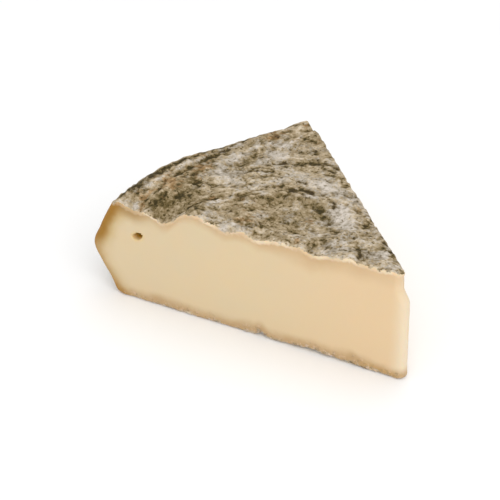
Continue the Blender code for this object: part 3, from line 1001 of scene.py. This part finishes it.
def side_faces(rows, count):
    """Four-sided faces between each row of the side and the next."""
    faces = []
    for low in range(rows - 1):
        for index in range(count):
            start, end = low * count + index, low * count + (index + 1) % count
            faces.append((start, end, end + count, start + count))
    return faces


def flat_faces(ring, inner, ring_start, inner_start, upwards):
    """Triangles over an outline and the places inside it, by the numbers of the mesh's points."""
    places = [Vector(place) for place in np.concatenate([ring, inner])]
    border = [(index, (index + 1) % len(ring)) for index in range(len(ring))]
    numbers = [*range(ring_start, ring_start + len(ring)), *range(inner_start, inner_start + len(inner))]
    triangles = delaunay_2d_cdt(places, border, [], 1, SAME_PLACE)[2]
    order = 1 if upwards else -1
    return [[numbers[index] for index in face[::order]] for face in triangles]


def cheese_mesh(pieces, faces):
    """The mesh of all pieces, each of which is its places and the values there, with these as attributes."""
    mesh = bpy.data.meshes.new("cheese")
    points = np.concatenate([places for places, _ in pieces]) + WHEEL_CENTRE
    mesh.from_pydata(points.tolist(), [], faces)
    for name in DISTANCES + SHARES:
        data = np.concatenate([values[name] for _, values in pieces])
        if name in DISTANCES:
            data = data / MM
        mesh.attributes.new(name, "FLOAT", "POINT").data.foreach_set("value", data.astype(np.float32))
    mesh.shade_smooth()
    return mesh


def build_cheese():
    """One closed mesh: the side in rows, and the two flat sides over evenly spread places."""
    rows = [SideRow(share) for share in row_shares()]
    pieces = [(row.places(), row.values()) for row in rows]
    count = len(rows[0].ring)
    total = count * len(rows)
    faces = side_faces(len(rows), count)
    for places, start, spacing, marks_at, surface, upwards in (
        (pieces[-1][0], total - count, TOP_SPACING, top_marks, top_surface, True),
        (pieces[0][0], 0, BASE_SPACING, base_marks, base_surface, False),
    ):
        ring = places[:, :2]
        side = flat_side(ring, spacing, marks_at, surface)
        faces += flat_faces(ring, side[0][:, :2], start, total, upwards)
        pieces.append(side)
        total += len(side[0])
    return add_object("cheese", cheese_mesh(pieces, faces))


def srgb(red, green, blue):
    """A colour as read from a picture, for a shader socket."""
    values = []
    for part in (red, green, blue):
        part /= 255.0
        values.append(part / 12.92 if part <= 0.04045 else ((part + 0.055) / 1.055) ** 2.4)
    return (*values, 1.0)


# The noise texture's usual lowest and highest value
NOISE_LOW = 0.28
NOISE_HIGH = 0.72


class Nodes:
    """A new material, with short calls that add nodes to it and join them."""

    def __init__(self, name):
        self.material = bpy.data.materials.new(name)
        self.material.use_nodes = True
        self.tree = self.material.node_tree
        self.shader = self.tree.nodes["Principled BSDF"]
        self.place = None

    def add(self, kind, **settings):
        node = self.tree.nodes.new(kind)
        for key, value in settings.items():
            setattr(node, key, value)
        return node

    def feed(self, node, values):
        """Join or set inputs of a node, by their name or number."""
        for key, value in values.items():
            if isinstance(value, bpy.types.NodeSocket):
                self.tree.links.new(value, node.inputs[key])
            else:
                node.inputs[key].default_value = value

    def attribute(self, name):
        return self.add("ShaderNodeAttribute", attribute_type="GEOMETRY", attribute_name=name).outputs["Fac"]

    def noise(self, size, detail, roughness, shift=0.0):
        """Noise between about 0.25 and 0.75 with lumps of about the given size in metres."""
        if self.place is None:
            self.place = self.add("ShaderNodeTexCoord").outputs["Object"]
        moved = self.add("ShaderNodeVectorMath", operation="ADD")
        self.feed(moved, {0: self.place, 1: (shift, shift, shift)})
        texture = self.add("ShaderNodeTexNoise", noise_dimensions="3D")
        self.feed(texture, {"Vector": moved.outputs["Vector"], "Scale": 1.0 / size})
        self.feed(texture, {"Detail": detail, "Roughness": roughness})
        return texture.outputs["Fac"]

    def sway(self, reach, *settings):
        """Noise between minus and plus the given reach."""
        return self.ramp(self.noise(*settings), NOISE_LOW, NOISE_HIGH, -reach, reach)

    def maths(self, operation, first, second):
        node = self.add("ShaderNodeMath", operation=operation)
        self.feed(node, {0: first, 1: second})
        return node.outputs[0]

    def sum(self, first, *others):
        for other in others:
            first = self.maths("ADD", first, other)
        return first

    def times(self, value, factor):
        return self.maths("MULTIPLY", value, factor)

    def ramp(self, value, low, high, out_low=0.0, out_high=1.0):
        node = self.add("ShaderNodeMapRange", interpolation_type="SMOOTHSTEP")
        self.feed(node, {"Value": value, "From Min": low, "From Max": high})
        self.feed(node, {"To Min": out_low, "To Max": out_high})
        return node.outputs["Result"]

    def mix(self, share, first, second):
        node = self.add("ShaderNodeMix", data_type="RGBA")
        self.feed(node, {"Factor": share, 6: first, 7: second})
        return node.outputs[2]

    def zone(self, colour, distance, zone, *limits):
        """A colour with another over it, which fades out with a distance and is weakened by any limits."""
        full, gone, strength, tint = zone
        share = self.ramp(distance, full, gone, strength, 0.0)
        for limit in limits:
            share = self.times(share, limit)
        return self.mix(share, colour, srgb(*tint))

    def colours(self, value, colours):
        """A scale of evenly spread colours, read at a value between 0 and 1."""
        node = self.add("ShaderNodeValToRGB")
        self.feed(node, {"Fac": value})
        elements = node.color_ramp.elements
        for index in range(1, len(colours) - 1):
            elements.new(index / (len(colours) - 1))
        for element, colour in zip(elements, colours):
            element.color = srgb(*colour)
        return node.outputs["Color"]


# The rind's colours from light to dark, where it is bare, where it has bloom and where it has rust
BARE_RIND = ((208, 193, 168), (177, 159, 130), (140, 122, 89), (97, 81, 44), (56, 46, 12))
BLOOM_RIND = ((207, 197, 185), (177, 167, 152), (142, 131, 113), (99, 84, 52), (60, 46, 22))
RUST_RIND = ((192, 156, 108), (138, 104, 60), (70, 50, 22))

# How dark it is: the mean, what the marks add, and noise by its reach, size, detail, roughness and shift
RIND_TONE = 0.345
DARK_TONE = 0.46
BLOOM_TONE = -0.10
SPECKS = (0.14, 0.0011, 3.0, 0.6, 0.0)
BLOTCHES = (0.13, 0.0026, 3.0, 0.55, 0.11)
BROAD_TONES = (0.09, 0.0085, 2.0, 0.5, 0.23)
GRIT = (0.045, 0.00055, 2.0, 0.5, 0.31)
SPECKS_IN_DARK = 0.7
PITS = (0.0010, 2.0, 0.5, 0.57)
PITS_RANGE = (0.58, 0.68, 0.0, 0.38)

# How bloom and rust turn into shares of their colours
BLOOM_PATCHES = (0.62, 0.0040, 3.0, 0.6, 0.37)
BLOOM_GRAIN = (0.50, 0.0009, 2.0, 0.6, 0.43)
BLOOM_RANGE = (0.0, 1.1)
RUST_GRAIN = (0.60, 0.0016, 3.0, 0.6, 0.51)
RUST_RANGE = (0.35, 1.1, 0.0, 0.75)


def rind_colour(nodes):
    """Grey-beige bloom over olive-brown creases, with a few ochre spots."""
    dark, bloom, ochre = nodes.attribute("dark"), nodes.attribute("bloom"), nodes.attribute("ochre")
    mottling = nodes.sum(nodes.sway(*SPECKS), nodes.sway(*BLOTCHES))
    in_dark = nodes.maths("MAXIMUM", nodes.times(dark, SPECKS_IN_DARK), 0.0)
    noises = nodes.sum(nodes.sway(*GRIT), mottling, nodes.times(mottling, in_dark), nodes.sway(*BROAD_TONES))
    pits = nodes.ramp(nodes.noise(*PITS), *PITS_RANGE)
    tone = nodes.sum(RIND_TONE, noises, pits, nodes.times(dark, DARK_TONE), nodes.times(bloom, BLOOM_TONE))
    tint = nodes.sum(bloom, nodes.sway(*BLOOM_PATCHES), nodes.sway(*BLOOM_GRAIN))
    rust = nodes.ramp(nodes.sum(ochre, nodes.sway(*RUST_GRAIN)), *RUST_RANGE)
    bare, pale = nodes.colours(tone, BARE_RIND), nodes.colours(tone, BLOOM_RIND)
    mixed = nodes.mix(nodes.ramp(tint, *BLOOM_RANGE), bare, pale)
    return nodes.mix(rust, mixed, nodes.colours(tone, RUST_RIND))


# The paste's two creams, and the noises that blend them and make its zones waver
CREAMS = ((214, 195, 160), (217, 195, 157))
CLOUDS = (0.5, 0.0180, 2.0, 0.5, 0.67)
WAVER = (0.5, 0.0060, 2.0, 0.5, 0.61)

# Zones of the paste: distance in mm up to which each is full and at which it is gone, strength, colour
TIP_ZONE = (8.0, 62.0, 1.0, (222, 194, 154))
# Painted highlight: the paste turns paler round the rounded tip, near the wheel's centre
PAINTED_TIP_HIGHLIGHT = (2.8, 8.6, 0.85, (226, 210, 182))
TAN_TOP = (0.4, 5.6, 0.78, (198, 165, 122))
TAN_BASE = (0.8, 5.8, 0.88, (184, 151, 107))
AMBER_BASE = (0.8, 3.6, 0.75, (190, 150, 84))
TAN_WALL = (2.4, 9.5, 0.9, (194, 166, 108))
BROWN_WALL = (0.2, 3.6, 0.8, (180, 143, 82))
LOW_CORNER = (2.0, 9.0, 0.95, (172, 128, 62))
HIGH_CORNER = (0.8, 6.5, 0.95, (168, 134, 80))
AMBER_WALL = (1.4, 6.0, 1.0, (156, 110, 22))
# The crust's own pale cream, partly a painted highlight where the knife's lip catches the light
PALE_CRUST_AND_HIGHLIGHT = (0.5, 1.7, 1.0, (226, 206, 175))
CRUMBS = (0.2, 3.2, 0.8, (150, 124, 92))
FLECKS = (0.4, 3.6, 0.7, (214, 190, 162))
FRINGE_RANGE = (-0.3, 1.3, 0.85, 0.0)

# Zones of the eye, listed the same way in shares of its size
EYE_HALO = (0.9, 1.9, 0.5, (226, 194, 128))
EYE_EDGE = (0.65, 1.10, 1.0, (170, 122, 0))
# The core's dark olive is partly painted shade deep in the hole
EYE_CORE_AND_SHADE = (0.35, 0.85, 0.8, (120, 90, 0))

# How zones change with the distance from the wheel's centre: from and to in mm, strength there and there
TIP_CLOUDS = 12.0
TAN_TOP_THINNING = (40.0, 65.0, 0.72, 1.25)
TAN_TOP_STRENGTH = (4.0, 30.0, 0.4, 1.0)
AMBER_BASE_OUTER = (12.0, 20.0, 1.0, 0.0)
AMBER_BASE_INNER = (2.5, 6.0, 0.0, 1.0)
HIGH_CORNER_STRENGTH = (90.0, 103.0, 0.0, 1.0)

# How the wall's zones weaken downwards, by the distance from the top
WALL_STRENGTH = (14.0, 22.0, 1.0, 0.3)

# Noise that makes the crust and the fringe above the base ragged, and that spreads crumbs and flecks there
CRUST_GRAIN = (0.45, 0.0016, 3.0, 0.6, 0.71)
FRINGE_GRAIN = (1.2, 0.0024, 4.0, 0.65, 0.83)
FRINGE_WAVES = (0.7, 0.0090, 1.0, 0.5, 0.89)
CRUMB_GRAIN = (0.0011, 3.0, 0.6, 0.93)
CRUMB_RANGE = (0.50, 0.64)
FLECK_GRAIN = (0.0013, 3.0, 0.6, 0.99)
FLECK_RANGE = (0.54, 0.66)


def paste_colour(nodes, rind):
    """Cream paste with a painted highlight on the rounded tip, tan under the crust and above the base, amber
    beside the wheel's outer wall.
    """
    to_top, to_base = nodes.attribute("to_top"), nodes.attribute("to_base")
    to_wall, radius = nodes.attribute("to_wall"), nodes.attribute("radius")
    clouds, waver = nodes.sway(*CLOUDS), nodes.sway(*WAVER)
    colour = nodes.mix(nodes.sum(0.5, clouds), srgb(*CREAMS[0]), srgb(*CREAMS[1]))
    under_crust = nodes.sum(nodes.times(to_top, nodes.ramp(radius, *TAN_TOP_THINNING)), waver)
    near_tip = nodes.ramp(radius, *AMBER_BASE_OUTER), nodes.ramp(radius, *AMBER_BASE_INNER)
    from_wall = nodes.sum(to_wall, waver)
    upper = nodes.ramp(to_top, *WALL_STRENGTH)
    for distance, zone, *limits in (
        (nodes.sum(radius, nodes.times(clouds, TIP_CLOUDS)), TIP_ZONE),
        # Painted highlight on the rounded tip
        (radius, PAINTED_TIP_HIGHLIGHT),
        (under_crust, TAN_TOP, nodes.ramp(radius, *TAN_TOP_STRENGTH)),
        (nodes.sum(to_base, waver), TAN_BASE),
        (to_base, AMBER_BASE, *near_tip),
        (from_wall, TAN_WALL, upper),
        (from_wall, BROWN_WALL),
        (nodes.sum(to_base, to_wall), LOW_CORNER),
        (to_top, HIGH_CORNER, nodes.ramp(radius, *HIGH_CORNER_STRENGTH)),
        (from_wall, AMBER_WALL, upper),
    ):
        colour = nodes.zone(colour, distance, zone, *limits)
    return eye_colour(nodes, edge_colour(nodes, colour, rind, to_top, to_base))


def edge_colour(nodes, colour, rind, to_top, to_base):
    """The pale crust, partly a painted highlight of its lip, along the upper edge of a cut, and the rind's
    frayed fringe along the lower one.
    """
    crust = nodes.sum(to_top, nodes.sway(*CRUST_GRAIN))
    colour = nodes.zone(colour, crust, PALE_CRUST_AND_HIGHLIGHT, nodes.attribute("crust"))
    fringe = nodes.sum(to_base, nodes.sway(*FRINGE_GRAIN), nodes.sway(*FRINGE_WAVES))
    colour = nodes.mix(nodes.ramp(fringe, *FRINGE_RANGE), colour, rind)
    colour = nodes.zone(colour, fringe, CRUMBS, nodes.ramp(nodes.noise(*CRUMB_GRAIN), *CRUMB_RANGE))
    return nodes.zone(colour, fringe, FLECKS, nodes.ramp(nodes.noise(*FLECK_GRAIN), *FLECK_RANGE))


def eye_colour(nodes, colour):
    eye = nodes.attribute("eye")
    # The halo and the edge are the eye's own colours; the dark core is partly painted shade
    for zone in (EYE_HALO, EYE_EDGE, EYE_CORE_AND_SHADE):
        colour = nodes.zone(colour, eye, zone)
    return colour


# How ragged and how soft the edge is where the rind's colour gives way to the paste's
RAGGED = (0.36, 0.0020, 3.0, 0.6, 0.91)
RAGGED_GRAIN = (0.16, 0.0007, 2.0, 0.6, 0.97)
RIND_RANGE = (-0.14, 0.10)

# The finish of paste and rind
ROUGHNESS = (0.50, 0.92)
SUBSURFACE = (0.30, 0.0)
SUBSURFACE_COLOURS = (1.0, 0.6, 0.3)
SUBSURFACE_DEPTH = 0.003
SPECULAR = 0.35
BUMP_STRENGTH = (0.10, 0.48)
BUMP_HEIGHT = 0.00020
FELT = (0.0004, 3.0, 0.6, 1.1)
COARSE_FELT = (0.0009, 2.0, 0.5, 1.3)
COARSE_SHARE = 0.6


def cheese_material():
    nodes = Nodes("cheese")
    ragged = nodes.sum(nodes.attribute("edge"), nodes.sway(*RAGGED), nodes.sway(*RAGGED_GRAIN))
    on_rind = nodes.ramp(ragged, *RIND_RANGE)
    rind = rind_colour(nodes)
    felt = nodes.sum(nodes.noise(*FELT), nodes.times(nodes.noise(*COARSE_FELT), COARSE_SHARE))
    bump = nodes.add("ShaderNodeBump")
    strength = nodes.ramp(on_rind, 0.0, 1.0, *BUMP_STRENGTH)
    nodes.feed(bump, {"Height": felt, "Distance": BUMP_HEIGHT, "Strength": strength})
    nodes.feed(nodes.shader, {
        "Base Color": nodes.mix(on_rind, paste_colour(nodes, rind), rind),
        "Roughness": nodes.ramp(on_rind, 0.0, 1.0, *ROUGHNESS),
        "Subsurface Weight": nodes.ramp(on_rind, 0.0, 1.0, *SUBSURFACE),
        "Subsurface Radius": SUBSURFACE_COLOURS,
        "Subsurface Scale": SUBSURFACE_DEPTH,
        "Specular IOR Level": SPECULAR,
        "Normal": bump.outputs["Normal"],
    })
    return nodes.material


# The camera stands where the photograph's did: place about the wheel's centre, turn and tilt
CAMERA_PLACE = (0.1143, -0.3314, 0.2798)
CAMERA_TURN = math.radians(27.4)
CAMERA_TILT = math.radians(33.4)
CAMERA_LENS = 100.0
CAMERA_SENSOR = 36.0
CAMERA_CLIP = 0.02

# The floor lies a hair below the wedge, so that no two faces share a plane
FLOOR_RADIUS = 3.0
FLOOR_SIDES = 96
FLOOR_GAP = 0.00005
FLOOR_TONES = (0.94, 0.96)
FLOOR_CLOUDS = (0.11, 2.0, 0.5)
FLOOR_CLOUDS_RANGE = (0.3, 0.7)
FLOOR_ROUGHNESS = 0.9
FLOOR_SPECULAR = 0.1

# The white surround, and round soft lights: name, place, size across, power
SURROUND = 0.79
LIGHTS = (
    ("key", (0.50, -0.65, 0.85), 1.0, 5.2),
    ("back", (-0.20, 0.50, 1.10), 0.9, 2.0),
)


def add_camera():
    data = bpy.data.cameras.new("camera")
    data.lens = CAMERA_LENS
    data.sensor_width = CAMERA_SENSOR
    data.clip_start = CAMERA_CLIP
    turn = (0.5 * math.pi - CAMERA_TILT, 0.0, CAMERA_TURN)
    bpy.context.scene.camera = add_object("camera", data, np.add(WHEEL_CENTRE, CAMERA_PLACE), turn)


def floor_material():
    nodes = Nodes("floor")
    clouds = nodes.ramp(nodes.noise(*FLOOR_CLOUDS), *FLOOR_CLOUDS_RANGE)
    dim, bright = [(tone, tone, tone, 1.0) for tone in FLOOR_TONES]
    colour = nodes.mix(clouds, dim, bright)
    settings = {"Base Color": colour, "Roughness": FLOOR_ROUGHNESS, "Specular IOR Level": FLOOR_SPECULAR}
    nodes.feed(nodes.shader, settings)
    return nodes.material


def add_floor():
    """A plain pale round floor."""
    shape = bmesh.new()
    bmesh.ops.create_circle(shape, cap_ends=True, segments=FLOOR_SIDES, radius=FLOOR_RADIUS)
    mesh = bpy.data.meshes.new("floor")
    shape.to_mesh(mesh)
    shape.free()
    mesh.materials.append(floor_material())
    floor = add_object("floor", mesh, (0.0, 0.0, -FLOOR_GAP))


def add_light(name, place, size, power):
    """A round soft light that points at the middle of the wedge."""
    data = bpy.data.lights.new(name, "AREA")
    data.shape = "DISK"
    data.size = size
    data.energy = power
    towards = Vector((0.0, 0.0, 0.5 * CENTRE_HEIGHT)) - Vector(place)
    add_object(name, data, place, towards.to_track_quat("-Z", "Y").to_euler())


def add_studio():
    world = bpy.data.worlds.new("studio")
    world.use_nodes = True
    background = world.node_tree.nodes["Background"]
    background.inputs["Color"].default_value = (1.0, 1.0, 1.0, 1.0)
    background.inputs["Strength"].default_value = SURROUND
    bpy.context.scene.world = world
    for light in LIGHTS:
        add_light(*light)
    bpy.context.scene.view_settings.view_transform = "Standard"
    bpy.context.scene.view_settings.look = "None"


add_camera()
add_floor()
add_studio()
cheese = build_cheese()
cheese.data.materials.append(cheese_material())
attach(cheese, "root")
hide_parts("cheese_wedge")
